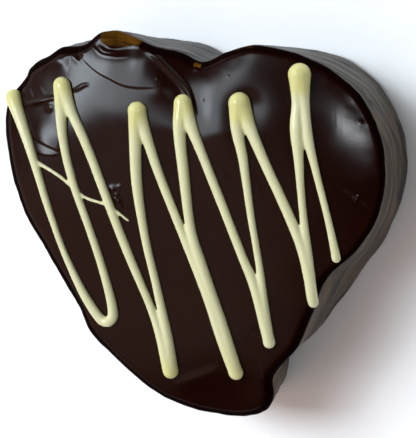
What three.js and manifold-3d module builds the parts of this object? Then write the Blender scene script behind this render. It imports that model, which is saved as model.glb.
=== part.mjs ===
// A heart-shaped marshmallow under a coat of dark chocolate, with one long zigzag of white icing
// piped over its top. It lies on its flat base. Millimetres, +Z up, the heart's tip towards -Y.
// One solid: the coated heart, the folds of its chocolate and the icing are fused.
import * as THREE from 'three';
import { mergeVertices } from 'three/addons/utils/BufferGeometryUtils.js';
import Module from 'manifold-3d';

const wasm = await Module();
wasm.setup();

// ---- Driving dimensions -------------------------------------------------------------------

const TOP = 22;                  // height of the flat crown over the base
const CROWN_FALL = 3.4;          // how far the crown has dropped at its half width
const CROWN_HALF = [36, 35];     // half width and half depth of the crown
const SPOKE = 33;                // radius that the rings settle to towards the middle

const EDGE_MEAN = 1.8;           // radius of the rounded top edge, on average
const EDGE_SWING = 0.7;          // crisper by this much on one side, softer on the other
const EDGE_CRISP = 20;           // degrees round from +X where the edge is crispest

// Where the top edge is crisper: middle x, y, reach, and how much.
const EDGE_CHANGES = [[-11.5, 35.5, 5, -1.1]];

const FOOT_RADIUS = 1.2;         // rounding where the wall meets the base

// The rim of the heart, anticlockwise from the right lobe: right lobe, cleft, left lobe with
// its blunt corner, left flank, blunt tip, right flank.
const RIM = [
  [35.8, 11], [34.6, 17.2], [32, 22.6], [27.8, 26.8], [22.7, 29.8], [17.7, 31.6], [12.6, 32.4],
  [7.7, 31.3], [3.1, 29.8], [-0.7, 31.5], [-5.3, 32.8], [-9.7, 34.8], [-13.1, 35.8],
  [-16.5, 35.4], [-18.7, 33.8], [-21.3, 33.2], [-24.1, 33], [-26.7, 31.6], [-29.6, 30.3],
  [-31.2, 29.2], [-31.7, 28], [-33, 26.2], [-35.3, 23.9], [-36.3, 20.5], [-35.5, 12.5],
  [-32.7, 3], [-28.8, -3.6], [-22.7, -14.4], [-20.5, -19.5], [-13.9, -26.6], [-6.8, -32],
  [1.2, -35], [7.7, -35.6], [12.1, -34.1], [13.7, -31.1], [14, -27.7], [18.9, -21.7],
  [22.1, -15.3], [25.1, -8.8], [30.3, -4.1], [34.3, 2],
];

// Soft swells and hollows of the coat: middle x, y, reach, and rise over the crown.
const SWELLS = [
  [3.2, 32, 6, -2],
  [0.2, 25, 5, -0.7],
  [3.2, 21, 3, -0.35],
  [7.6, 17.2, 3.2, 0.25],
  [-1, 14.5, 4, -0.22],
  [9, 34, 5, -0.6],
  [12, 22, 3.2, -0.5],
  [-3.5, 25.4, 2.3, 0.3],
  [-16, 14, 6, -0.25],
  [-12, 36, 5, -1],
  [-12.5, 31, 3, 0.3],
  [4.7, -33.4, 7, -1.2],
  [-28.7, 28.1, 5, -0.4],
];

// How far the wall's foot stands out beyond the rim, and where it is tucked in or spreads:
// middle x, y, reach, and how much further out.
const FLARE = 0.3;
const FLARE_CHANGES = [
  [12.7, 32.4, 6, -1.6],
  [20, 31, 5, -0.8],
  [-13.1, 35.6, 6, -2.6],
  [14.3, -30.4, 6.5, -3.2],
  [26.8, -9.8, 8, 3],
  [36.3, 8.2, 12, 0.6],
];

// The icing was piped as one zigzag, in eleven runs. Each run: x, y and width of the bead.
const ICING_RUNS = [
  [[-33.7, 24.2, 3], [-32.1, 20.6, 2.4], [-29.5, 13.9, 1.8], [-26.4, 3.8, 1.4], [-23.7, -4.3, 1.3],
    [-20.3, -11.9, 1.7], [-17.7, -16.3, 2]],
  [[-16.4, -17, 2.2], [-14.8, -14.2, 1.9], [-15.8, -8.6, 1.6], [-18.4, 0.7, 1.5],
    [-21.5, 10.1, 1.6], [-22.9, 17.2, 1.8], [-23.1, 26.4, 3.1]],
  [[-22.9, 26.3, 3.1], [-21.2, 22, 2.1], [-18.7, 16.8, 1.8], [-15.1, 7.5, 1.7], [-11, -4, 1.7],
    [-7.2, -14.2, 1.6], [-5.7, -19.4, 2.1], [-4.5, -26, 3]],
  [[-4.5, -25.9, 2.9], [-4.5, -19.7, 2], [-5.7, -11.2, 1.6], [-7.5, -1.1, 1.6], [-8.5, 8.4, 2],
    [-8.4, 17.3, 2.5], [-7.9, 21.7, 3.4]],
  [[-8, 21.7, 3.4], [-6.7, 18.2, 2.2], [-4.9, 12.3, 1.8], [-0.5, 0, 1.7], [3.8, -11.7, 2.2],
    [5.7, -18.8, 2.3], [7.8, -26.2, 2.7]],
  [[7.7, -26.1, 2.7], [6.3, -18.4, 2.2], [2.9, -6.3, 2.1], [1.3, -0.1, 1.8], [0.5, 9.2, 2],
    [-0.1, 18.1, 2.4], [0.4, 22.8, 3.3]],
  [[0.4, 22.8, 3.3], [1.9, 19, 2.3], [3.6, 14.7, 1.8], [7.1, 5.2, 1.7], [10.6, -4.8, 1.7],
    [12.5, -10, 2], [14.5, -20.3, 2.2]],
  [[14.4, -20.3, 2.2], [14, -14.8, 1.9], [13.6, -7.2, 1.4], [12.4, 2.9, 1.4], [11.4, 13, 1.8],
    [10.5, 18.3, 2.4], [10.9, 22.6, 4]],
  [[10.9, 22.5, 4], [12.7, 18.4, 2.4], [14.8, 13.3, 1.9], [19.5, 2.1, 1.9], [21.3, -3, 2],
    [22.3, -8.1, 2.1], [22.7, -13, 2]],
  [[22.8, -12.8, 1.8], [22.4, -6.1, 1.8], [21.6, 5.4, 1.4], [21.3, 12.5, 1.8], [21, 18, 2.4],
    [21.2, 22.5, 2.1], [21.6, 27.2, 4.2]],
  [[21.6, 27.2, 4.2], [22.3, 22.5, 2.2], [22.9, 16.7, 1.9], [24.2, 10.5, 1.4], [25.9, 2.7, 1.3],
    [26.8, -2.3, 1.5], [27.2, -5, 1.7]],
];

// A hair-thin thread that trailed off the first run and crosses the next two.
const ICING_THREAD = [
  [-29.1, 12.8, 0.9], [-23.7, 9.8, 0.8], [-19, 6.2, 0.8], [-14.3, 4.6, 0.8], [-10.6, 1.9, 0.6],
];

// Runs of chocolate that set proud of the coat: a drip beside the cleft, a rod on the left
// lobe, and the lip that curls up at the back of the left lobe.
const CHOCOLATE_RUNS = [
  [[-7.9, 34, 0.8], [-5.8, 32.3, 1], [-1.9, 28.5, 1], [1.5, 24.4, 1], [2.8, 20.4, 0.8]],
  [[-32.2, 22.9, 1.1], [-27.8, 23.7, 0.9], [-21, 25.3, 0.8], [-17.7, 26.4, 0.7]],
  [[-17.8, 33.3, 1.6], [-15.8, 34.3, 2], [-12.7, 34.6, 2.2], [-9.8, 33.8, 2], [-7.4, 32.7, 1.4]],
];

const BEAD_LIFT = 0.12;          // a bead's middle lies above the coat by this part of its width

// ---- Fineness of the faces ----------------------------------------------------------------

const COLUMNS = 96;              // faces round the heart
const ROWS = { crown: 11, edge: 4, wall: 3, foot: 2, base: 2 };
const BEAD_COLUMNS = 8;
const BEAD_CAP_ROWS = 2;
const BEAD_STEP = 3.2;           // length of one face along a bead
const RIM_SAMPLES = 360;

const up = new THREE.Vector3(0, 0, 1);
const rim = new THREE.CatmullRomCurve3(RIM.map(([x, y]) => new THREE.Vector3(x, y, 0)), true);
const rimPoints = rim.getSpacedPoints(RIM_SAMPLES);
const rimLines = rimPoints.slice(1).map((point, i) => new THREE.Line3(rimPoints[i], point));

const between = (a, b, share) => a + (b - a) * share;

// The sum at a place of soft bumps, each given by its middle, reach and size.
function blend(bumps, x, y) {
  const share = ([bumpX, bumpY, reach]) => Math.hypot(x - bumpX, y - bumpY) / reach;
  return bumps.reduce((sum, each) => sum + each[3] * Math.exp(-(share(each) ** 2)), 0);
}

// ---- The coat's form ----------------------------------------------------------------------

function crown(x, y) {
  const [halfWidth, halfDepth] = CROWN_HALF;
  const fall = CROWN_FALL * Math.hypot(x / halfWidth, y / halfDepth) ** 3;
  return TOP - fall + blend(SWELLS, x, y);
}

function edgeRadius(x, y) {
  const turn = Math.atan2(y, x) - THREE.MathUtils.degToRad(EDGE_CRISP);
  return EDGE_MEAN - EDGE_SWING * Math.cos(turn) + blend(EDGE_CHANGES, x, y);
}

function distanceToRim(x, y) {
  const here = new THREE.Vector3(x, y, 0);
  const nearest = new THREE.Vector3();
  return Math.min(...rimLines.map(
    (line) => line.closestPointToPoint(here, true, nearest).distanceTo(here),
  ));
}

// Height of the coat's top at a place in plan, rounded over towards the rim.
function coatHeight(x, y) {
  const toRim = distanceToRim(x, y);
  const edge = edgeRadius(x, y);
  const gap = Math.max(0, edge - toRim);
  return crown(x, y) - edge + Math.sqrt(edge * edge - gap * gap);
}

function flareAt(x, y) {
  return FLARE + blend(FLARE_CHANGES, x, y);
}

// ---- Wrapping a sphere --------------------------------------------------------------------

// A sphere's points, each moved to place(turn, row): turn runs from 0 to 1 round the sphere's
// axis, and row counts down from the top pole.
function wrapSphere(columns, rows, place) {
  const geometry = new THREE.SphereGeometry(1, columns, rows).rotateX(Math.PI / 2);
  geometry.deleteAttribute('normal');
  geometry.deleteAttribute('uv');
  const wrapped = mergeVertices(geometry, 1e-4);
  const position = wrapped.getAttribute('position');
  const point = new THREE.Vector3();
  for (let i = 0; i < position.count; i += 1) {
    point.fromBufferAttribute(position, i);
    const turn = Math.atan2(point.y, point.x) / (2 * Math.PI);
    const polar = Math.acos(THREE.MathUtils.clamp(point.z, -1, 1));
    const moved = place(turn - Math.floor(turn), Math.round((polar / Math.PI) * rows));
    position.setXYZ(i, moved.x, moved.y, moved.z);
  }
  return wrapped;
}

// ---- The coated heart ---------------------------------------------------------------------

function heartPoint(turn, row) {
  const out = rim.getPointAt(turn);
  const reach = out.length();
  const edge = edgeRadius(out.x, out.y);
  const at = (radius) => out.clone().setLength(Math.max(radius, 0));
  let left = row;
  if (left <= ROWS.crown) {
    const share = left / ROWS.crown;
    const point = at(share * between(SPOKE, reach - edge, share * share));
    return point.setZ(coatHeight(point.x, point.y));
  }
  left -= ROWS.crown;
  if (left <= ROWS.edge) {
    const point = at(reach - edge * (1 - Math.sin((left / ROWS.edge) * Math.PI / 2)));
    return point.setZ(coatHeight(point.x, point.y));
  }
  left -= ROWS.edge;
  const flare = flareAt(out.x, out.y);
  if (left <= ROWS.wall) {
    const share = left / ROWS.wall;
    const wallTop = crown(out.x, out.y) - edge;
    return at(reach + flare * share).setZ(between(wallTop, FOOT_RADIUS, share));
  }
  left -= ROWS.wall;
  if (left <= ROWS.foot) {
    const bend = (left / ROWS.foot) * Math.PI / 2;
    return at(reach + flare - FOOT_RADIUS * (1 - Math.cos(bend)))
      .setZ(FOOT_RADIUS * (1 - Math.sin(bend)));
  }
  left -= ROWS.foot;
  return at((reach + flare - FOOT_RADIUS) * (1 - left / ROWS.base)).setZ(0);
}

function coatedHeart() {
  const rows = Object.values(ROWS).reduce((sum, count) => sum + count);
  return wrapSphere(COLUMNS, rows, heartPoint);
}

// ---- Beads of icing and chocolate ---------------------------------------------------------

// A round-ended bead laid over the coat through its stations of x, y and width.
function bead(stations) {
  const path = new THREE.CatmullRomCurve3(
    stations.map(([x, y, width]) => new THREE.Vector3(x, y, width)),
  );
  const tubeRows = Math.ceil(path.getLength() / BEAD_STEP);
  const rows = tubeRows + 2 * BEAD_CAP_ROWS;
  return wrapSphere(BEAD_COLUMNS, rows, (turn, row) => {
    const along = THREE.MathUtils.clamp((row - BEAD_CAP_ROWS) / tubeRows, 0, 1);
    const { x, y, z: width } = path.getPointAt(along);
    const forward = path.getTangentAt(along).setZ(0).normalize();
    const side = forward.clone().cross(up);
    const beyond = Math.max(BEAD_CAP_ROWS - row, row - BEAD_CAP_ROWS - tubeRows, 0);
    const bend = (beyond / BEAD_CAP_ROWS) * Math.PI / 2;
    const radius = (width / 2) * Math.cos(bend);
    const push = Math.sign(row - rows / 2) * (width / 2) * Math.sin(bend);
    const angle = turn * 2 * Math.PI;
    return new THREE.Vector3(x, y, coatHeight(x, y) + BEAD_LIFT * width)
      .addScaledVector(forward, push)
      .addScaledVector(side, radius * Math.cos(angle))
      .addScaledVector(up, radius * Math.sin(angle));
  });
}

// ---- Fusing -------------------------------------------------------------------------------

function toSolid(geometry) {
  return new wasm.Manifold(new wasm.Mesh({
    numProp: 3,
    vertProperties: Float32Array.from(geometry.getAttribute('position').array),
    triVerts: Uint32Array.from(geometry.getIndex().array),
  }));
}

function toGeometry(solid) {
  const mesh = solid.getMesh();
  const geometry = new THREE.BufferGeometry();
  geometry.setAttribute('position', new THREE.BufferAttribute(mesh.vertProperties, 3));
  geometry.setIndex(new THREE.BufferAttribute(mesh.triVerts, 1));
  return geometry;
}

function chocolateHeart() {
  const runs = [...ICING_RUNS, ICING_THREAD, ...CHOCOLATE_RUNS];
  const solid = runs.reduce((sum, run) => sum.add(toSolid(bead(run))), toSolid(coatedHeart()));
  const geometry = toGeometry(solid);
  geometry.computeBoundingBox();
  const { min, max } = geometry.boundingBox;
  geometry.translate(-(min.x + max.x) / 2, -(min.y + max.y) / 2, -min.z);
  geometry.computeVertexNormals();
  const finish = new THREE.MeshStandardMaterial({ color: 0x2f1a14, roughness: 0.2, metalness: 0 });
  const mesh = new THREE.Mesh(geometry, finish);
  mesh.name = 'chocolate_heart';
  return mesh;
}

const marshmallow = new THREE.Group();
marshmallow.add(chocolateHeart());

export default marshmallow;
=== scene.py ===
"""A heart-shaped marshmallow under dark chocolate, with one zigzag of white icing piped over it.

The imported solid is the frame. Two pieces stand for it: the glossy coat with its folds, and the icing.
"""

import math

import bpy
import numpy as np
from bpy.props import FloatProperty, FloatVectorProperty, PointerProperty
from mathutils import Matrix, Vector, noise


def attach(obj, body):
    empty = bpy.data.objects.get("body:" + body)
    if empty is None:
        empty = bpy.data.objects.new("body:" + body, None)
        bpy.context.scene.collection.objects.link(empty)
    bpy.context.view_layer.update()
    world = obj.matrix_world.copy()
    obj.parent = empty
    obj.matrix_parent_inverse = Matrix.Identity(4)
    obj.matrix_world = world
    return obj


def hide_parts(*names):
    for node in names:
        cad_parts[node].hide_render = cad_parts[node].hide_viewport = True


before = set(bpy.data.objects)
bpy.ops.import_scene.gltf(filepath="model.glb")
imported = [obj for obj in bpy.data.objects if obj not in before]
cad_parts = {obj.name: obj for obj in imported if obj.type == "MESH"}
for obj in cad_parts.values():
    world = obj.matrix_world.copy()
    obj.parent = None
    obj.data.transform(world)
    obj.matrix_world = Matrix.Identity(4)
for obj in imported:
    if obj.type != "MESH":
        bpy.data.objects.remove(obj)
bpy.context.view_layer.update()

bl_info = {
    "name": "Chocolate Marshmallow Heart",
    "version": (1, 0, 0),
    "blender": (4, 5, 0),
    "location": "3D View > Sidebar > Sweets",
    "description": "Models a chocolate-coated marshmallow heart with piped icing, and a stage for it",
    "category": "Object",
}

MM = 0.001
NODE = "chocolate_heart"

# ---- The coat's form, in millimetres, as the solid has it ----------------------------------

TOP = 22.0  # height of the flat crown over the base
CROWN_FALL = 3.4  # how far the crown falls from its middle to the ends of its half axes
CROWN_HALF = (36.0, 35.0)
EDGE_MEAN = 1.8  # radius of the rounded top edge
EDGE_SWING = 0.7
EDGE_CRISP = math.radians(20)  # the way from the middle in which the edge is crispest
EDGE_CHANGES = [(-11.5, 35.5, 5, -1.1)]  # middle x, y, reach, and what the radius gains
FOOT_RADIUS = 1.2
FLARE = 0.3  # how far the wall's foot stands out

# Stations of the rim, which a smooth closed curve passes through.
RIM = [
    (35.8, 11), (34.6, 17.2), (32, 22.6), (27.8, 26.8), (22.7, 29.8), (17.7, 31.6),
    (12.6, 32.4), (7.7, 31.3), (3.1, 29.8), (-0.7, 31.5), (-5.3, 32.8), (-9.7, 34.8),
    (-13.1, 35.8), (-16.5, 35.4), (-18.7, 33.8), (-21.3, 33.2), (-24.1, 33), (-26.7, 31.6),
    (-29.6, 30.3), (-31.2, 29.2), (-31.7, 28), (-33, 26.2), (-35.3, 23.9), (-36.3, 20.5),
    (-35.5, 12.5), (-32.7, 3), (-28.8, -3.6), (-22.7, -14.4), (-20.5, -19.5), (-13.9, -26.6),
    (-6.8, -32), (1.2, -35), (7.7, -35.6), (12.1, -34.1), (13.7, -31.1), (14, -27.7),
    (18.9, -21.7), (22.1, -15.3), (25.1, -8.8), (30.3, -4.1), (34.3, 2),
]

# Soft swells and hollows: middle x, y, reach, and rise over the crown.
SWELLS = [
    (3.2, 32, 6, -2),
    (0.2, 25, 5, -0.7),
    (3.2, 21, 3, -0.35),
    (7.6, 17.2, 3.2, 0.25),
    (-1, 14.5, 4, -0.22),
    (9, 34, 5, -0.6),
    (12, 22, 3.2, -0.5),
    (-3.5, 25.4, 2.3, 0.3),
    (-16, 14, 6, -0.25),
    (-12, 36, 5, -1),
    (-12.5, 31, 3, 0.3),
    (4.7, -33.4, 7, -1.2),
    (-28.7, 28.1, 5, -0.4),
]

# Where the wall's foot stands further out or is tucked in: middle x, y, reach, and how much.
FLARE_CHANGES = [
    (12.7, 32.4, 6, -1.6),
    (20, 31, 5, -0.8),
    (-13.1, 35.6, 6, -2.6),
    (14.3, -30.4, 6.5, -3.2),
    (26.8, -9.8, 8, 3),
    (36.3, 8.2, 12, 0.6),
]

# ---- Piping, in millimetres: x, y and width of the bead ------------------------------------

ICING_RUNS = [
    [(-33.7, 24.2, 3), (-32.1, 20.6, 2.4), (-29.5, 13.9, 1.8), (-26.4, 3.8, 1.4),
     (-23.7, -4.3, 1.3), (-20.3, -11.9, 1.7), (-18.1, -15.6, 1.9),
     (-16.9, -16.9, 2), (-15.6, -16.9, 2.1), (-14.8, -15.8, 2)],
    [(-14.8, -15.8, 2), (-14.8, -14.2, 1.9), (-15.8, -8.6, 1.6), (-18.4, 0.7, 1.5),
     (-21.5, 10.1, 1.6), (-22.9, 17.2, 1.8), (-23.1, 26.4, 3.1)],
    [(-22.9, 26.3, 3.1), (-21.2, 22, 2.1), (-18.7, 16.8, 1.8), (-15.1, 7.5, 1.7), (-11, -4, 1.7),
     (-7.2, -14.2, 1.6), (-5.7, -19.4, 2.1), (-4.5, -26, 3)],
    [(-4.5, -25.9, 2.9), (-4.5, -19.7, 2), (-5.7, -11.2, 1.6), (-7.5, -1.1, 1.6), (-8.5, 8.4, 2),
     (-8.4, 17.3, 2.5), (-7.9, 21.7, 3.4)],
    [(-8, 21.7, 3.4), (-6.7, 18.2, 2.2), (-4.9, 12.3, 1.8), (-0.5, 0, 1.7), (3.8, -11.7, 2.2),
     (5.7, -18.8, 2.3), (7.8, -26.2, 2.7)],
    [(7.7, -26.1, 2.7), (6.3, -18.4, 2.2), (2.9, -6.3, 2.1), (1.3, -0.1, 1.8), (0.5, 9.2, 2),
     (-0.1, 18.1, 2.4), (0.4, 22.8, 3.3)],
    [(0.4, 22.8, 3.3), (1.9, 19, 2.3), (3.6, 14.7, 1.8), (7.1, 5.2, 1.7), (10.6, -4.8, 1.7),
     (12.5, -10, 2), (14.5, -20.3, 2.2)],
    [(14.4, -20.3, 2.2), (14, -14.8, 1.9), (13.6, -7.2, 1.4), (12.4, 2.9, 1.4), (11.4, 13, 1.8),
     (10.5, 18.3, 2.4), (10.9, 22.6, 4)],
    [(10.9, 22.5, 4), (12.7, 18.4, 2.4), (14.8, 13.3, 1.9), (19.5, 2.1, 1.9), (21.3, -3, 2),
     (22.3, -8.1, 2.1), (22.7, -13, 2)],
    [(22.8, -12.8, 1.8), (22.4, -6.1, 1.8), (21.6, 5.4, 1.4), (21.3, 12.5, 1.8), (21, 18, 2.4),
     (21.2, 22.5, 2.1), (21.6, 27.2, 4.2)],
    [(21.6, 27.2, 4.2), (22.3, 22.5, 2.2), (22.9, 16.7, 1.9), (24.2, 10.5, 1.4), (25.9, 2.7, 1.3),
     (26.8, -2.3, 1.5), (27.2, -5, 1.7)],
]
ICING_THREAD = [(-29.1, 12.8, 0.8), (-23.7, 9.8, 0.7), (-19, 6.2, 0.65), (-14.3, 4.6, 0.65),
                (-10.6, 1.9, 0.5)]
BEAD_LIFT = 0.12  # a bead's middle lies above the coat by this part of its width
BLOB_WIDTHS = (2.3, 3.1)  # from the first width to the second, a bead looks like a thick blob

# ---- Relief of the set chocolate, in millimetres -------------------------------------------

# Ridges and grooves along a path: their rise, and how far they reach on the left and the right
# of the way they run.
RIDGES = {
    "drip beside the cleft": (
        [(-7.9, 34), (-5.8, 32.3), (-1.9, 28.5), (1.5, 24.4), (2.8, 20.4)], 0.45, 0.35, 0.6),
    "rod on the left lobe": (
        [(-32.4, 22.7), (-30, 23.0), (-27.5, 23.6), (-24.4, 24.3)], 0.5, 0.45, 0.55),
    "leaf-shaped end of the rod": (
        [(-21, 25.3), (-19.8, 25.8), (-18.6, 26.4), (-17.5, 26.5)], 0.16, 0.3, 0.4),
    "lip": (
        [(-17, 35.3), (-14.5, 35.9), (-12, 35.9), (-9.5, 35.3), (-7, 34.2)], 0.9, 1.5, 1.7),
    "edge of the amber pool": (
        [(-16.2, 34.6), (-14.8, 33.6), (-13.6, 32.9), (-11.7, 32.8), (-9.8, 33.1), (-6.6, 33.1)],
        0.08, 0.25, 0.3),
    "first wrinkle under the lip": (
        [(-15.9, 33.2), (-14.7, 32.3), (-12.4, 32.1)], 0.06, 0.25, 0.25),
    "second wrinkle under the lip": (
        [(-17.1, 33.2), (-15.3, 31.8), (-13.7, 31.4), (-11.8, 31.2), (-9.5, 31.3)],
        0.06, 0.25, 0.25),
    "arc behind the left corner": (
        [(-28.2, 29.5), (-26.1, 30.4), (-24.5, 30.7), (-21.8, 30.4)], 0.3, 0.9, 1.2),
    "curled flap": (
        [(-23.8, 31.8), (-22.3, 31.8), (-21.5, 32.2), (-20.9, 31.7), (-20.1, 30.8), (-19, 30)],
        0.08, 0.45, 0.6),
    "gap under the flap": (
        [(-20.8, 33), (-20.2, 31.9), (-19.3, 31)], -0.2, 0.6, 0.6),
    "crevice beside the first run": (
        [(-32.7, 26.4), (-32, 25.2), (-31.5, 23.8)], -0.4, 0.5, 0.5),
    "corner wrinkle 1": ([(-30.5, 26), (-29.4, 23.9)], 0.025, 0.4, 0.5),
    "corner wrinkle 2": ([(-29.7, 26.3), (-28.2, 24.4)], 0.02, 0.5, 0.4),
    "corner wrinkle 3": ([(-29, 26.8), (-26.7, 24.4)], 0.025, 0.45, 0.5),
    "brush line 1": ([(7.4, 12.4), (9.3, 7.4)], -0.03, 0.15, 0.15),
    "brush line 2": ([(8.2, 12.1), (10.3, 6.6)], -0.03, 0.15, 0.15),
    "brush line 3": ([(13.2, 11.5), (15.2, 5.9)], -0.03, 0.15, 0.15),
    "brush line 4": ([(13.8, 11.2), (15.8, 5.7)], -0.03, 0.15, 0.15),
    "scratch": ([(28.6, 7.5), (31.3, 5.2), (33, 3.9)], -0.1, 0.12, 0.12),
    "ridge across the tip": (
        [(-4.5, -29.3), (-1.5, -28), (1.5, -27), (5.3, -25.2)], 0.3, 1.0, 2.2),
}
TAPER = 0.8  # the less, the longer a ridge or fold keeps its height towards its ends
# A fold of the coat: the chocolate on the left of the path lies higher. Its rise, how sharp the
# step is, and how far the raised side reaches.
FOLDS = {
    "crease across the left lobe": (
        [(-19.3, 31.2), (-17.8, 29.9), (-16, 28.6), (-13.4, 27.3), (-11, 26.2), (-8.5, 25.7),
         (-4, 25.6)], 0.14, 0.07, 3.5),
    "upper fold between the first runs": (
        [(-30, 17.2), (-28.6, 16.5), (-26.5, 15.5), (-23.6, 14.3)], 0.38, 0.1, 2.4),
    "lower fold between the first runs": (
        [(-29.4, 14.6), (-27.8, 13.9), (-25.6, 13.6), (-23.4, 13.9)], 0.26, 0.1, 1.3),
}
# Specks and bubbles: x, y, reach and rise.
SPECKS = [
    (-4.3, 27.2, 0.2, 0.05), (-25.6, 22.4, 0.7, 0.2), (4.1, 23.3, 0.22, 0.05),
    (8.8, 27.2, 0.18, 0.03), (32, 18.7, 0.3, 0.04), (31.1, 5.4, 0.4, 0.16), (23.7, 29.1, 0.18, 0.04),
    (-10.4, -19.2, 0.2, 0.05), (-14.3, -19.9, 0.2, 0.05), (-3.9, -3.2, 0.22, 0.05),
    (-4.3, -10.4, 0.2, 0.05), (-2.2, -26.3, 0.25, 0.07), (6.2, -7.3, 0.18, 0.04),
    (6.2, -8.6, 0.2, 0.05), (-27, 30, 0.2, 0.08), (2.5, 29.1, 0.5, 0.12),
    (-13.4, 7.6, 0.6, 0.2), (-12.7, 6.6, 0.5, 0.16), (-12.4, 5.4, 0.6, 0.22),
    (-11.9, 4.4, 0.4, 0.12), (-12.1, 8, 0.45, 0.12), (-13, 5.9, 0.4, 0.14),
]
# Low swells beside the lip and in the left corner, which turn the gloss: x, y, reach and rise.
LEANS = [(-7.2, 30.2, 2.6, 0.3), (-27.5, 26.8, 2.2, 0.12)]
# Fine brush marks in the gloss: middle x, y and reach, and their depth.
BRUSHED = (28.2, 19.8, 3.2)
BRUSHED_DEPTH = 0.002
BRUSHED_SIZE = (0.625, 6.0)  # width and length of one mark
AMBER_SHARE = 0.1  # the amber goes down this part of the wall
# Where the coat looks amber: thin chocolate that also stands for a painted warm reflection, and the
# last two are painted glints in the cleft. Middle x, y, reach and how strongly.
AMBER_AND_GLINTS = [
    (-14.4, 34.9, 1.7, 1), (-12.2, 34.7, 1.7, 1), (-9.8, 34.4, 1.6, 1), (-8, 33.8, 1.2, 0.4),
    (10, 32.2, 1.2, 0.5), (12.5, 32.6, 1.2, 0.6), (2.2, 29.4, 0.4, 1.2), (3, 29.2, 0.35, 1.2),
]
# General unevenness of the coat, and then of its rim: how high, and how far one swell reaches.
UNEVEN = [(0.08, 7.0), (0.006, 3.0)]
RAGGED = [(0.2, 4.5), (0.07, 1.5)]
RAGGED_REACH = 2.5  # how far in from the rim its bays and bulges fade
RAGGED_LIMIT = 5.0  # and past which there are none
# Flow marks round the wall: their depth, length and height, how they slope, and how they wander.
STREAK_DEPTH = 0.3
STREAK_SIZE = (10.0, 5.0)
STREAK_SLOPE = 0.25
STREAK_WANDER = (2.2, 11.0)
# Thin lines between them: how strong, at which noise they turn, how much finer, and where.
STREAK_LINES = (0.35, 0.3, 1.9, 7)
STREAK_FADE = 0.06  # part of the wall's height in which they fade at its top and foot

# ---- Fineness ------------------------------------------------------------------------------

COLUMNS = 440  # faces round the heart
# How far in from the rim each ring over the top edge lies.
EDGE_RINGS = (0.06, 0.15, 0.28, 0.45, 0.65, 0.9, 1.2, 1.55, 1.95, 2.4, 2.9, 3.4)
WALL_RINGS = 44
FOOT_RINGS = 4
FINER = (2.2, 1.1)  # faces nearer than this to a feature's side, in millimetres, are halved
CURVE_STEPS = 40  # points between two stations
RIDGE_STEPS = 24
FOLD_STEPS = 40
BEAD_STEPS = 60
WIDTH_STEPS = 40  # along a bead, when its width is looked up
BEAD_END_TURNS = (88, 70, 50, 30, 15)  # degrees round a bead's rounded end
VOXEL = 0.2  # of the icing, in millimetres
VOXEL_SMOOTHING = 6
SLACK = 0.01  # millimetres within which the cage's top counts as flat
LEAST_PUSH = 1e-4  # millimetres, less than which nothing is moved


# ---- Plane geometry ------------------------------------------------------------------------


def smooth(stations, count, closed=False):
    """Evenly spaced points on the smooth (centripetal) curve through the stations."""
    points = np.array(stations, float)
    if closed:
        points = np.vstack([points[-1:], points, points[:2]])
    else:
        ends = 2 * points[0] - points[1], 2 * points[-1] - points[-2]
        points = np.vstack([ends[0], points, ends[1]])
    fine = []
    for before, start, end, after in zip(points, points[1:], points[2:], points[3:]):
        gaps = [max(np.linalg.norm(b - a) ** 0.5, 1e-6)
                for a, b in ((before, start), (start, end), (end, after))]
        leave = (start - before) / gaps[0] - (end - before) / (gaps[0] + gaps[1])
        leave = (leave + (end - start) / gaps[1]) * gaps[1]
        arrive = (end - start) / gaps[1] - (after - start) / (gaps[1] + gaps[2])
        arrive = (arrive + (after - end) / gaps[2]) * gaps[1]
        t = np.linspace(0, 1, CURVE_STEPS, endpoint=False)[:, None]
        fine.append(start + leave * t + (3 * (end - start) - 2 * leave - arrive) * t**2
                    + (2 * (start - end) + leave + arrive) * t**3)
    fine = np.vstack(fine + [points[-2:-1]])
    length = np.append(0, np.cumsum(np.linalg.norm(np.diff(fine, axis=0), axis=1)))
    wanted = np.linspace(0, length[-1], count, endpoint=not closed)
    return np.stack([np.interp(wanted, length, column) for column in fine.T], axis=1)


def off_path(x, y, path):
    """Distance of each place to a path, on which side (1 left, -1 right), and how far along."""
    best = np.full(x.shape, np.inf)
    side = np.ones(x.shape)
    along = np.zeros(x.shape)
    for i, (a, b) in enumerate(zip(path[:-1], path[1:])):
        step = b - a
        reach_x, reach_y = x - a[0], y - a[1]
        part = np.clip((reach_x * step[0] + reach_y * step[1]) / (step @ step), 0, 1)
        distance = np.hypot(reach_x - part * step[0], reach_y - part * step[1])
        nearer = distance < best
        best = np.where(nearer, distance, best)
        turn = step[0] * reach_y - step[1] * reach_x
        side = np.where(nearer, np.where(turn >= 0, 1.0, -1.0), side)
        along = np.where(nearer, (i + part) / (len(path) - 1), along)
    return best, side, along


def blend(bumps, x, y):
    """The sum at each place of soft bumps: middle, reach and size."""
    return sum(size * np.exp(-((x - a) ** 2 + (y - b) ** 2) / reach**2)
               for a, b, reach, size in bumps)


RIM_PATH = smooth(RIM, COLUMNS, closed=True)


def crown(x, y):
    fall = CROWN_FALL * np.hypot(x / CROWN_HALF[0], y / CROWN_HALF[1]) ** 3
    return TOP - fall + blend(SWELLS, x, y)


def edge_radius(x, y):
    turned = EDGE_MEAN - EDGE_SWING * np.cos(np.arctan2(y, x) - EDGE_CRISP)
    return turned + blend(EDGE_CHANGES, x, y)


def to_rim(x, y):
    return off_path(x, y, np.vstack([RIM_PATH, RIM_PATH[:1]]))[0]


def rounding(x, y):
    """How far the rounded top edge drops below the crown."""
    edge = edge_radius(x, y)
    gap = np.clip(edge - to_rim(x, y), 0, edge)
    return edge - np.sqrt(edge**2 - gap**2)


def taper(along):
    """Fades a feature in and out towards the ends of its path."""
    return np.sin(np.pi * np.clip(along, 0, 1)) ** TAPER


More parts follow.
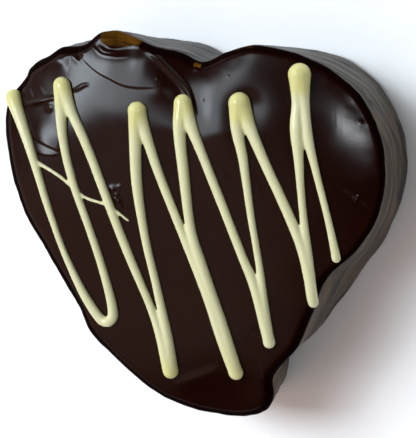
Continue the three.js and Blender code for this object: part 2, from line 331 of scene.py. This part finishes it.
def relief(x, y):
    """Folds, dents and specks of the set chocolate over the plain form."""
    rise = blend([*SPECKS, *LEANS], x, y)
    for stations, height, left, right in RIDGES.values():
        distance, side, along = off_path(x, y, smooth(stations, RIDGE_STEPS))
        reach = np.where(side > 0, left, right)
        rise += height * np.exp(-(distance / reach) ** 2) * taper(along)
    for stations, height, sharp, reach in FOLDS.values():
        distance, side, along = off_path(x, y, smooth(stations, FOLD_STEPS))
        above = side * distance
        step = 0.5 + 0.5 * np.tanh(above / sharp)
        rise += height * step * np.exp(-(np.maximum(above, 0) / reach) ** 2) * taper(along)
    for size, reach in UNEVEN:
        rise += [size * noise.noise(Vector((a, b, reach)) / reach) for a, b in zip(x, y)]
    return rise + brush_marks(x, y)


def brush_marks(x, y):
    """Fine lines that a brush left in one patch of the gloss."""
    middle_x, middle_y, reach = BRUSHED
    wide, long = BRUSHED_SIZE
    near = np.hypot(x - middle_x, y - middle_y) < 2 * reach
    marks = np.zeros(x.shape)
    marks[near] = [noise.noise(Vector((a / wide, b / long, 0))) for a, b in zip(x[near], y[near])]
    return BRUSHED_DEPTH * marks * blend([(middle_x, middle_y, reach, 1)], x, y)


def coat_height(x, y):
    return crown(x, y) - rounding(x, y) + relief(x, y)


def off_features(x, y):
    """How far each place lies from the side of the nearest fold, ridge or speck."""
    gap = np.full(x.shape, np.inf)
    for stations, _, left, right in RIDGES.values():
        distance = off_path(x, y, smooth(stations, RIDGE_STEPS))[0]
        gap = np.minimum(gap, distance - max(left, right))
    for stations, _, sharp, _ in FOLDS.values():
        gap = np.minimum(gap, off_path(x, y, smooth(stations, FOLD_STEPS))[0] - sharp)
    for a, b, reach, *_ in [*SPECKS, BRUSHED]:
        gap = np.minimum(gap, np.hypot(x - a, y - b) - reach)
    return gap


def raggedness(x, y):
    """Small bays and bulges of the rim, which fade inwards over the top."""
    out = np.zeros(x.shape)
    for size, reach in RAGGED:
        out += [size * noise.noise(Vector((a, b, 0)) / reach) for a, b in zip(x, y)]
    return out * np.exp(-(to_rim(x, y) / RAGGED_REACH) ** 2)


def streaks(x, y, z):
    """Flow marks that run round the wall, out from its plain face, at a depth of 1."""
    long, tall = STREAK_SIZE
    sway, reach = STREAK_WANDER
    strong, level, finer, elsewhere = STREAK_LINES
    out = []
    for place in np.stack([x, y, z], axis=1):
        flat = Vector((place[0], place[1], 0))
        height = place[2] + STREAK_SLOPE * (flat.x - flat.y) + sway * noise.noise(flat / reach)
        height /= tall
        swell = noise.noise(Vector((flat.x / long, flat.y / long, height)))
        line = noise.noise(Vector((flat.x / long, flat.y / long, height * finer + elsewhere)))
        out.append(swell + strong * (level - abs(line)))
    return np.array(out)


# ---- Modelling helpers ---------------------------------------------------------------------


def deselect():
    bpy.ops.object.select_all(action="DESELECT")


def edit(piece):
    deselect()
    piece.select_set(True)
    bpy.context.view_layer.objects.active = piece
    bpy.ops.object.mode_set(mode="EDIT")


def leave_edit():
    bpy.ops.object.mode_set(mode="OBJECT")


def places(piece):
    """The vertices' places in millimetres, one row for each of x, y and z."""
    co = np.empty(len(piece.data.vertices) * 3)
    piece.data.vertices.foreach_get("co", co)
    return co.reshape(-1, 3).T / MM


def apply_modifier(piece, kind, **settings):
    bpy.context.view_layer.objects.active = piece
    bpy.ops.object.modifier_add(type=kind)
    modifier = piece.modifiers[-1]
    for name, value in settings.items():
        setattr(modifier, name, value)
    bpy.ops.object.modifier_apply(modifier=modifier.name)


def push(piece, direction, amounts):
    """Displaces each vertex by its own amount of millimetres, outwards and then inwards."""
    for way in (1, -1):
        reach = (way * amounts).max()
        if reach < LEAST_PUSH:
            continue
        group = piece.vertex_groups.new(name="push")
        for i in np.flatnonzero(way * amounts > LEAST_PUSH / 10).tolist():
            group.add([i], way * amounts[i] / reach, "REPLACE")
        apply_modifier(piece, "DISPLACE", direction=direction, mid_level=0,
                       strength=way * reach * MM, vertex_group=group.name)
        piece.vertex_groups.clear()


def paint(piece, name, amounts):
    """Keeps one number for each vertex, which a material reads by its name."""
    layer = piece.data.attributes.new(name, "FLOAT", "POINT")
    layer.data.foreach_set("value", amounts.astype(np.float32))


def finish(piece, material):
    bpy.ops.object.mode_set(mode="OBJECT")
    piece.data.materials.clear()
    piece.data.materials.append(material)
    piece.data.polygons.foreach_set("use_smooth", [True] * len(piece.data.polygons))
    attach(piece, "root")
    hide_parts(NODE)


# ---- Shader maths --------------------------------------------------------------------------

BUMP_REACH = 0.0002  # height of a material's finest bumps, in metres


class Shade:
    """The nodes of a material or a world, which starts bare."""

    def __init__(self, owner):
        owner.use_nodes = True
        self.tree = owner.node_tree
        self.tree.nodes.clear()

    def add(self, kind, settings=None, **values):
        """A node of one kind: its settings first, and then what its sockets hold or read."""
        node = self.tree.nodes.new(kind)
        for name, value in (settings or {}).items():
            setattr(node, name, value)
        for name, value in values.items():
            numbered = name[0] == "i" and name[1:].isdigit()
            socket = node.inputs[int(name[1:]) if numbered else name.replace("_", " ")]
            if isinstance(value, Value):
                self.tree.links.new(value.socket, socket)
            else:
                socket.default_value = value
        return node

    def value(self, node, output=0):
        return Value(self, node.outputs[output])

    def place(self):
        """Where the surface lies on the piece, in metres."""
        return self.value(self.add("ShaderNodeTexCoord"), "Object")

    def painted(self, name):
        """The number that code painted on the vertices."""
        node = self.add("ShaderNodeAttribute", {"attribute_name": name})
        return self.value(node, "Fac")

    def speckle(self, place, scale, **values):
        """Noise over the places it is given."""
        return self.value(self.add("ShaderNodeTexNoise", Vector=place, Scale=scale, **values))

    def bump(self, height, strength):
        node = self.add("ShaderNodeBump", Height=height, Strength=strength, Distance=BUMP_REACH)
        return self.value(node)

    def stretch(self, place, x, y, z):
        """The place with each of its axes scaled."""
        node = self.add("ShaderNodeVectorMath", {"operation": "MULTIPLY"}, i0=place, i1=(x, y, z))
        return self.value(node)

    def mix(self, share, first, second):
        """A colour between two, by a share."""
        node = self.add("ShaderNodeMix", {"data_type": "RGBA"}, i0=share, i6=first, i7=second)
        return self.value(node, 2)

    def blend(self, share, first, second):
        """A surface between two shaders, by a share."""
        return self.add("ShaderNodeMixShader", i0=share, i1=self.value(first),
                        i2=self.value(second))

    def glow(self, colour, strength, more=(0.0, 0.0, 0.0)):
        """A colour times a strength, and another light added to it."""
        node = self.add("ShaderNodeVectorMath", {"operation": "MULTIPLY_ADD"}, i0=colour,
                        i1=self.value(self.add("ShaderNodeCombineXYZ", X=strength, Y=strength,
                                               Z=strength)), i2=more)
        return self.value(node)

    def fade(self, value, start, end):
        """Rises smoothly from 0 to 1 as a value goes from its start to its end."""
        node = self.add("ShaderNodeMapRange", {"interpolation_type": "SMOOTHSTEP"},
                        Value=value, From_Min=start, From_Max=end)
        return self.value(node)


class Value:
    """A number that a socket gives, for use in sums."""

    def __init__(self, shade, socket):
        self.shade = shade
        self.socket = socket

    def maths(self, operation, first, second):
        node = self.shade.add("ShaderNodeMath", {"operation": operation}, i0=first, i1=second)
        return self.shade.value(node)

    def larger(self, other):
        return self.maths("MAXIMUM", self, other)

    def __add__(self, other):
        return self.maths("ADD", self, other)

    __radd__ = __add__

    def __mul__(self, other):
        return self.maths("MULTIPLY", self, other)

    __rmul__ = __mul__

    def __sub__(self, other):
        return self.maths("SUBTRACT", self, other)

    def __rsub__(self, other):
        return self.maths("SUBTRACT", other, self)


# ---- Finishes ------------------------------------------------------------------------------

EDGE_FADE = (0.01, 0.1)  # parts of the edge's rounding over which the gloss gives way to the dull edge with its painted shade
WALL_FADE = (0.97, 1.04)  # and over which the wall's pale streaks, dust and painted reflection, begin
AMBER_FADE = (0.6, 1.0)
AMBER_SWIRL = (180, 520, 180)  # swirls of the thin chocolate for each metre
SWIRL_FADE = (0.35, 0.65)
DUST_AND_SHEEN_FLOW = (60, 30, 450)  # streaks for each metre across, along and up the wall
DUST_AND_SHEEN_FADE = (0.4, 0.62)
SHEEN_LEAN = 0.6  # how the line between the wall's brown and grey painted reflection slopes over the heart
SHEEN_TURN = (-0.01, 0.036)  # metres over which the wall's painted reflection turns from brown to grey
DUST_AND_SHEEN_DEEP = 0.17  # part of the wall's pale colour, dust and painted reflection, that is left between its streaks
SHEEN_BROWN = (0.95, 0.7, 0.45)  # parts of the grey colour's red, green and blue, where the painted reflection is browner
ICING_GROOVES = (1100, 120, 500)
# Tint of the thick blobs, warmer and darker: painted shade.
ICING_WARM = (0.94, 0.9, 0.6)


def tint(colour, share=1):
    """A colour scaled by a share, or each of its parts by its own."""
    return (*(float(part) for part in np.multiply(tuple(colour), share)), 1)


def chocolate():
    """Glossy on top, duller and darker over the rounded edge, where the darkening is painted shade, and
    pale streaks down the wall, partly dust and partly painted reflection.
    """
    material = bpy.data.materials.new("dark_chocolate")
    shade = Shade(material)
    look = bpy.context.scene.heart_coat
    place = shade.place()
    side = shade.painted("side")
    # Amber of thin chocolate, partly painted warm reflection, and painted glints in the cleft.
    thin = amber_and_glint_mask(shade, place)
    # The rounded edge gets half the chocolate's colour: painted shade, darker over the edge than on the
    # top.
    edge = shade.add(
        "ShaderNodeBsdfPrincipled",
        Base_Color=shade.mix(thin, tint(look.colour, 0.5), amber(shade, place, look)),
        Roughness=0.5,
        IOR=1.03,
    )
    # The wall's pale colour is partly dust and partly a painted reflection of the surroundings.
    wall = shade.add(
        "ShaderNodeBsdfPrincipled",
        Base_Color=dust_and_sheen(shade, place, look),
        Roughness=0.5,
        IOR=1.25,
    )
    bare = shade.fade(side, *EDGE_FADE).larger(thin)
    top = shade.blend(bare, gloss(shade, place, look), edge)
    shader = shade.blend(shade.fade(side, *WALL_FADE), top, wall)
    shade.add("ShaderNodeOutputMaterial", Surface=shade.value(shader))
    return material


def gloss(shade, place, look):
    """The smooth set top, a little mottled."""
    mottle = shade.speckle(place, 180.0, Detail=3.0)
    grain = shade.speckle(place, 2200.0, Detail=2.0)
    return shade.add(
        "ShaderNodeBsdfPrincipled",
        Base_Color=shade.mix(mottle, tint(look.colour), tint(look.colour, 1.5)),
        Roughness=look.roughness - 0.04 + 0.08 * mottle,
        Normal=shade.bump(grain, 0.012),
        IOR=1.23,
    )


def amber_and_glint_mask(shade, place):
    """Where the chocolate is thin and amber, with a painted warm reflection and painted glints, and a
    ragged edge.
    """
    ragged = shade.speckle(place, 700.0, Detail=2.0)
    return shade.fade(shade.painted("amber") + 0.5 * ragged, *AMBER_FADE)


def amber(shade, place, look):
    """Swirls of thin see-through chocolate, partly a painted warm reflection."""
    swirl = shade.speckle(shade.stretch(place, *AMBER_SWIRL), 1.0, Detail=3.0, Distortion=1.5)
    return shade.mix(shade.fade(swirl, *SWIRL_FADE), tint(look.thin, 0.15), tint(look.thin))


def dust_and_sheen(shade, place, look):
    """Long pale streaks round the wall, partly dust and partly painted reflection. They are greyer at
    the back and browner at the front, which is painted reflection.
    """
    parts = shade.add("ShaderNodeSeparateXYZ", Vector=place)
    x, y, z = (shade.value(parts, i) for i in range(3))
    across, along, up = DUST_AND_SHEEN_FLOW
    flow = shade.value(shade.add(
        "ShaderNodeCombineXYZ", X=across * (x - y), Y=along * (x + y),
        Z=up * (z + STREAK_SLOPE * (x - y))))
    streak = shade.speckle(flow, 1.0, Detail=4.0, Roughness=0.6, Distortion=1.2)
    turn = shade.fade(y - SHEEN_LEAN * x, *SHEEN_TURN)
    pale = shade.mix(turn, tint(look.dust_and_sheen, SHEEN_BROWN), tint(look.dust_and_sheen))
    return shade.mix(shade.fade(streak, *DUST_AND_SHEEN_FADE), tint(look.dust_and_sheen, DUST_AND_SHEEN_DEEP), pale)


def icing():
    """Smooth and cream-white, with fine grooves along the runs, and blobs at the turns tinted warmer
    and darker as painted shade.
    """
    material = bpy.data.materials.new("white_icing")
    shade = Shade(material)
    look = bpy.context.scene.heart_icing
    place = shade.place()
    mottle = shade.speckle(place, 300.0, Detail=2.0)
    groove = shade.speckle(shade.stretch(place, *ICING_GROOVES), 1.0, Detail=2.0)
    shader = shade.add(
        "ShaderNodeBsdfPrincipled",
        # The thick blobs get the warmer, darker tint: painted shade.
        Base_Color=shade.mix(shade.painted("thick") + 0.3 * mottle, tint(look.colour),
                             tint(look.colour, ICING_WARM)),
        Roughness=0.14 + 0.12 * mottle,
        Normal=shade.bump(groove, 0.25),
        IOR=1.42,
    )
    shade.add("ShaderNodeOutputMaterial", Surface=shade.value(shader))
    return material


# ---- The coat ------------------------------------------------------------------------------


def extrude_ring(down=0.0, grow=1.0):
    """Extrudes the selected ring of edges downwards, and widens or narrows it."""
    bpy.ops.mesh.extrude_edges_move(TRANSFORM_OT_translate={"value": (0, 0, -down * MM)})
    if grow != 1:
        bpy.ops.transform.resize(value=(grow, grow, 1), center_override=(0, 0, 0))


def coat_cage():
    """Rings over the top edge, a grid across the top, and rings down the wall, all still flat."""
    deselect()
    bpy.ops.mesh.primitive_circle_add(vertices=COLUMNS, radius=CROWN_HALF[0] * MM)
    piece = bpy.context.object
    for vertex, (x, y) in zip(piece.data.vertices, RIM_PATH):
        vertex.co = (x * MM, y * MM, TOP * MM)
    edit(piece)
    bpy.ops.mesh.select_mode(type="EDGE")
    bpy.ops.mesh.select_all(action="SELECT")
    half = np.mean(CROWN_HALF)
    inset = 0.0
    for ring in EDGE_RINGS:
        extrude_ring(grow=(half - ring) / (half - inset))
        inset = ring
    bpy.ops.mesh.fill_grid(span=COLUMNS // 4)
    bpy.ops.mesh.select_all(action="DESELECT")
    bpy.ops.mesh.select_non_manifold()
    for _ in range(WALL_RINGS):
        extrude_ring(down=(TOP - FOOT_RADIUS) / WALL_RINGS)
    bend = 0.0
    for i in range(FOOT_RINGS):
        turn = (i + 1) / FOOT_RINGS * math.pi / 2
        down = FOOT_RADIUS * (math.sin(turn) - math.sin(bend))
        inner = half - FOOT_RADIUS * (1 - math.cos(turn))
        outer = half - FOOT_RADIUS * (1 - math.cos(bend))
        extrude_ring(down=down, grow=inner / outer)
        bend = turn
    bpy.ops.mesh.edge_face_add()
    bpy.ops.mesh.select_all(action="SELECT")
    bpy.ops.mesh.normals_make_consistent(inside=False)
    leave_edit()
    for reach in FINER:
        halve_faces(piece, reach)
    return piece


def halve_faces(piece, reach):
    """Halves the top's faces that lie within a reach of a feature."""
    centres = np.empty(len(piece.data.polygons) * 3)
    piece.data.polygons.foreach_get("center", centres)
    x, y, z = centres.reshape(-1, 3).T / MM
    near = (z > TOP - SLACK) & (off_features(x, y) < reach)
    edit(piece)
    bpy.ops.mesh.select_mode(type="FACE")
    bpy.ops.mesh.select_all(action="DESELECT")
    leave_edit()
    piece.data.polygons.foreach_set("select", near)
    edit(piece)
    bpy.ops.mesh.subdivide(number_cuts=1, ngon=False)
    leave_edit()


def form_coat(piece, streak_depth):
    """Lowers the cage onto the coat's form, spreads its wall, and paints what the finish reads."""
    x, y, z = places(piece)
    top = z > TOP - SLACK
    share = np.clip((TOP - z) / (TOP - FOOT_RADIUS), 0, 1)
    drop = (TOP - crown(x, y) + edge_radius(x, y)) * (1 - share)
    drop[top] = (TOP - crown(x, y) + rounding(x, y) - relief(x, y))[top]
    push(piece, "Z", -drop)
    out = spread(x, y, z, share, streak_depth)
    radius = np.maximum(np.hypot(x, y), SLACK)
    push(piece, "X", out * x / radius)
    push(piece, "Y", out * y / radius)
    paint(piece, "side", np.where(top, rounding(x, y) / edge_radius(x, y), 1 + share))
    # The amber of thin chocolate, with a painted warm reflection and painted glints.
    paint(piece, "amber", np.clip(blend(AMBER_AND_GLINTS, x, y), 0, 1) * (share < AMBER_SHARE))


def spread(x, y, z, share, streak_depth):
    """How far each place is moved out from the middle: the flare, the flow marks and the rim."""
    out = (FLARE + blend(FLARE_CHANGES, x, y)) * share
    fade = np.clip(np.minimum(share, 1 - share) / STREAK_FADE, 0, 1)
    wall = np.flatnonzero(fade > 0)
    out[wall] += streak_depth * fade[wall] * streaks(x[wall], y[wall], z[wall])
    rim = to_rim(x, y) < RAGGED_LIMIT
    out[rim] += raggedness(x[rim], y[rim])
    return out


class MARSHMALLOW_OT_coat(bpy.types.Operator):
    """Model the marshmallow's coat of dark chocolate"""

    bl_idname = "marshmallow.coat"
    bl_label = "Chocolate Coat"

    def execute(self, context):
        piece = coat_cage()
        form_coat(piece, context.scene.heart_coat.streak_depth / MM)
        piece.name = "chocolate_coat"
        finish(piece, chocolate())
        return {"FINISHED"}


# ---- The icing -----------------------------------------------------------------------------


def bead_points(stations):
    """Centre points and radii of a round-ended bead laid on the coat."""
    path = smooth(stations, BEAD_STEPS)
    x, y, width = path.T
    z = coat_height(x, y) + BEAD_LIFT * width
    centre = np.stack([x, y, z], axis=1)
    radius = width / 2
    turns = np.radians(BEAD_END_TURNS)
    first = (centre[0] - centre[1]) / np.linalg.norm(centre[0] - centre[1])
    last = (centre[-1] - centre[-2]) / np.linalg.norm(centre[-1] - centre[-2])
    head = [(centre[0] + first * radius[0] * math.sin(t), radius[0] * math.cos(t)) for t in turns]
    tail = [(centre[-1] + last * radius[-1] * math.sin(t), radius[-1] * math.cos(t))
            for t in turns[::-1]]
    return head + list(zip(centre, radius)) + tail


def lay_beads(runs):
    """One curve object with a spline for each run, made a mesh."""
    curve = bpy.data.curves.new("icing", "CURVE")
    curve.dimensions = "3D"
    curve.bevel_depth = 1.0
    curve.bevel_resolution = 4
    curve.use_fill_caps = True
    for stations in runs:
        points = bead_points(stations)
        spline = curve.splines.new("POLY")
        spline.points.add(len(points) - 1)
        for point, (centre, radius) in zip(spline.points, points):
            point.co = (*(centre * MM), 1)
            point.radius = radius * MM
    piece = bpy.data.objects.new("icing", curve)
    bpy.context.collection.objects.link(piece)
    deselect()
    piece.select_set(True)
    bpy.context.view_layer.objects.active = piece
    bpy.ops.object.convert(target="MESH")
    return piece


def paint_thickness(piece):
    """Marks the thick blobs at the turns of the icing."""
    x, y, _ = places(piece)
    nearest = np.full(x.shape, np.inf)
    width = np.zeros(x.shape)
    for stations in ICING_RUNS:
        path = smooth(stations, WIDTH_STEPS)
        distance, _, along = off_path(x, y, path[:, :2])
        wide = np.interp(along, np.linspace(0, 1, len(path)), path[:, 2])
        width = np.where(distance < nearest, wide, width)
        nearest = np.minimum(nearest, distance)
    thin, thick = BLOB_WIDTHS
    paint(piece, "thick", np.clip((width - thin) / (thick - thin), 0, 1))


class MARSHMALLOW_OT_icing(bpy.types.Operator):
    """Pipe the zigzag of white icing over the coat"""

    bl_idname = "marshmallow.icing"
    bl_label = "Icing Zigzag"

    def execute(self, context):
        piece = lay_beads([*ICING_RUNS, ICING_THREAD])
        apply_modifier(piece, "REMESH", mode="VOXEL", voxel_size=VOXEL * MM)
        apply_modifier(piece, "SMOOTH", factor=0.5, iterations=VOXEL_SMOOTHING)
        paint_thickness(piece)
        piece.name = "white_icing"
        finish(piece, icing())
        return {"FINISHED"}


# ---- The stage -----------------------------------------------------------------------------

SIGHT = (0.298, 0.159, 0.941)  # from the heart to the camera
TARGET = Vector((3.2, 1.55, 18)) * MM
DISTANCE = 0.320
LENS = 146.1
LAMP_WAY = (0.28, 0.19, 0.95)
LAMP_DISTANCE = 0.6
LAMP_SIZE = (0.026, 0.036)
LAMP_COLOUR = (0.9, 0.95, 1.0)
FLOOR_COLOUR = (0.9, 0.9, 0.9, 1)

# The world's light, by x and y of the way it comes from. Each part fades in from the first number
# to the second.
ROOM_X = (0.22, -0.30)
ROOM_Y = [(0.22, -0.08), (-0.8, -0.35)]
ROOM_LEFT = (0.6, (-0.62, -0.7), (0.1, 0.25))  # more of the room's light, left of the window
PANES = [(0.06, (0.05, -0.2)), (0.46, (-0.16, -0.4)), (0.8, (-0.49, -0.6))]  # each, and its x
WINDOW_LEFT = (-0.72, -0.64)
WINDOW_Y = [(0.09, 0.17), (0.56, 0.46)]
WISP = 0.06  # a faint patch on the right
WISP_X = [(0, 0.08), (0.26, 0.16)]
WISP_Y = [(0.14, 0.2), (0.34, 0.26)]
ROOM_HEIGHT = (0.1, 0.4)
LOW_HEIGHT = (0.45, 0.3)


def face(thing, direction, distance):
    """Puts a lamp or camera at a distance from the heart and looking at it."""
    back = Vector(direction).normalized()
    right = (Vector((1, 0, 0)) - back * back.x).normalized()
    axes = Matrix((right, back.cross(right), back)).transposed().to_4x4()
    thing.matrix_world = Matrix.Translation(TARGET + back * distance) @ axes


def softbox(name, direction, size, radiance):
    light = bpy.data.lights.new(name, "AREA")
    light.shape = "RECTANGLE"
    light.size, light.size_y = size
    light.energy = radiance * math.pi * size[0] * size[1]
    light.color = LAMP_COLOUR
    thing = bpy.data.objects.new(name, light)
    bpy.context.collection.objects.link(thing)
    face(thing, direction, LAMP_DISTANCE)


def studio(scene, stage):
    """A dim warm room, with a wide soft window on the left that brightens leftwards."""
    world = bpy.data.worlds.new("studio")
    scene.world = world
    shade = Shade(world)
    way = shade.value(shade.add("ShaderNodeTexCoord"), "Generated")
    parts = shade.add("ShaderNodeSeparateXYZ", Vector=way)
    x, y, z = (shade.value(parts, i) for i in range(3))

    def between(value, fades):
        return shade.fade(value, *fades[0]) * shade.fade(value, *fades[1])

    share, left_x, left_y = ROOM_LEFT
    room = shade.fade(x, *ROOM_X) * between(y, ROOM_Y)
    room = room + share * shade.fade(x, *left_x) * shade.fade(y, *left_y)
    window = sum(strength * shade.fade(x, *fade) for strength, fade in PANES)
    window = window * shade.fade(x, *WINDOW_LEFT) * between(y, WINDOW_Y)
    window = window + WISP * between(x, WISP_X) * between(y, WISP_Y)
    ceiling = tuple(c * stage.room_strength for c in stage.room)
    pane = tuple(c * stage.window_strength for c in stage.window)
    low = (stage.low_strength,) * 3
    light = shade.glow(pane, window)
    light = shade.glow(ceiling, room * shade.fade(z, *ROOM_HEIGHT), light)
    light = shade.glow(low, shade.fade(z, *LOW_HEIGHT), light)
    background = shade.add("ShaderNodeBackground", Color=light)
    shade.add("ShaderNodeOutputWorld", Surface=shade.value(background))


class MARSHMALLOW_OT_stage(bpy.types.Operator):
    """Set out the floor, the soft light and the camera"""

    bl_idname = "marshmallow.stage"
    bl_label = "Stage"

    def execute(self, context):
        stage = context.scene.heart_stage
        deselect()
        bpy.ops.mesh.primitive_plane_add(size=stage.floor_size)
        floor = context.object
        floor.name = "floor"
        pale = bpy.data.materials.new("floor")
        shade = Shade(pale)
        shader = shade.add("ShaderNodeBsdfPrincipled", Base_Color=FLOOR_COLOUR, Roughness=0.8)
        shade.add("ShaderNodeOutputMaterial", Surface=shade.value(shader))
        floor.data.materials.append(pale)

        studio(context.scene, stage)
        softbox("lamp", LAMP_WAY, LAMP_SIZE, stage.lamp)

        camera = bpy.data.cameras.new("camera")
        camera.lens = LENS
        camera.sensor_width = 36
        camera.clip_start = 0.01
        thing = bpy.data.objects.new("camera", camera)
        context.collection.objects.link(thing)
        face(thing, SIGHT, DISTANCE)
        context.scene.camera = thing
        context.scene.view_settings.view_transform = "Standard"
        return {"FINISHED"}


# ---- Settings, panel and registration ------------------------------------------------------


class CoatSettings(bpy.types.PropertyGroup):
    streak_depth: FloatProperty(
        name="Flow marks", description="Depth of the flow marks round the wall", min=0,
        unit="LENGTH", precision=5, default=STREAK_DEPTH * MM)
    colour: FloatVectorProperty(
        name="Chocolate", description="Colour of the dark chocolate", subtype="COLOR",
        size=3, min=0, max=1, default=(0.0068, 0.0013, 0.0006))
    roughness: FloatProperty(
        name="Roughness", description="How soft the coat's gloss is", min=0, max=1, default=0.16)
    thin: FloatVectorProperty(
        # Thin chocolate's amber, which also stands for a painted warm reflection and painted glints.
        name="Thin chocolate", description="Colour where the coat is thin", subtype="COLOR",
        size=3, min=0, max=1, default=(0.09, 0.038, 0.004))
    # The wall's pale colour: partly dust, partly a painted reflection of the floor and surroundings.
    dust_and_sheen: FloatVectorProperty(
        name="Wall", description="Colour of the dull wall's pale streaks", subtype="COLOR",
        size=3, min=0, max=1, default=(0.104, 0.1, 0.095))


class IcingSettings(bpy.types.PropertyGroup):
    colour: FloatVectorProperty(
        name="Icing", description="Colour of the icing", subtype="COLOR",
        size=3, min=0, max=1, default=(0.6, 0.6, 0.375))


class StageSettings(bpy.types.PropertyGroup):
    floor_size: FloatProperty(
        name="Floor", description="Width of the square floor", min=0, unit="LENGTH", default=6)
    window: FloatVectorProperty(
        name="Window", description="Colour of the wide soft window", subtype="COLOR",
        size=3, min=0, max=1, default=(0.82, 0.92, 1.0))
    window_strength: FloatProperty(
        name="Window strength", description="Strength of the wide soft window", min=0, default=22)
    lamp: FloatProperty(
        name="Lamp", description="Brightness of the small softbox", min=0, default=105)
    room: FloatVectorProperty(
        name="Room", description="Colour of the dim room light", subtype="COLOR",
        size=3, min=0, max=1, default=(1.0, 0.67, 0.56))
    room_strength: FloatProperty(
        name="Room strength", description="Strength of the dim room light", min=0, default=1.25)
    low_strength: FloatProperty(
        name="Low light", description="Strength of the pale light low all round", min=0, default=1.0)


class MARSHMALLOW_PT_sweets(bpy.types.Panel):
    """Lists the heart's pieces and their settings"""

    bl_idname = "MARSHMALLOW_PT_sweets"
    bl_label = "Marshmallow Heart"
    bl_space_type = "VIEW_3D"
    bl_region_type = "UI"
    bl_category = "Sweets"

    def draw(self, context):
        scene = context.scene
        for operator, settings in ((MARSHMALLOW_OT_coat, scene.heart_coat),
                                   (MARSHMALLOW_OT_icing, scene.heart_icing),
                                   (MARSHMALLOW_OT_stage, scene.heart_stage)):
            box = self.layout.box()
            box.operator(operator.bl_idname)
            for name in settings.__annotations__:
                box.prop(settings, name)


CLASSES = (CoatSettings, IcingSettings, StageSettings, MARSHMALLOW_OT_coat, MARSHMALLOW_OT_icing,
           MARSHMALLOW_OT_stage, MARSHMALLOW_PT_sweets)


def register():
    for each in CLASSES:
        bpy.utils.register_class(each)
    bpy.types.Scene.heart_coat = PointerProperty(type=CoatSettings)
    bpy.types.Scene.heart_icing = PointerProperty(type=IcingSettings)
    bpy.types.Scene.heart_stage = PointerProperty(type=StageSettings)


def unregister():
    del bpy.types.Scene.heart_stage
    del bpy.types.Scene.heart_icing
    del bpy.types.Scene.heart_coat
    for each in reversed(CLASSES):
        bpy.utils.unregister_class(each)


def main():
    register()
    bpy.ops.marshmallow.coat()
    bpy.ops.marshmallow.icing()
    bpy.ops.marshmallow.stage()


if __name__ == "__main__":
    main()
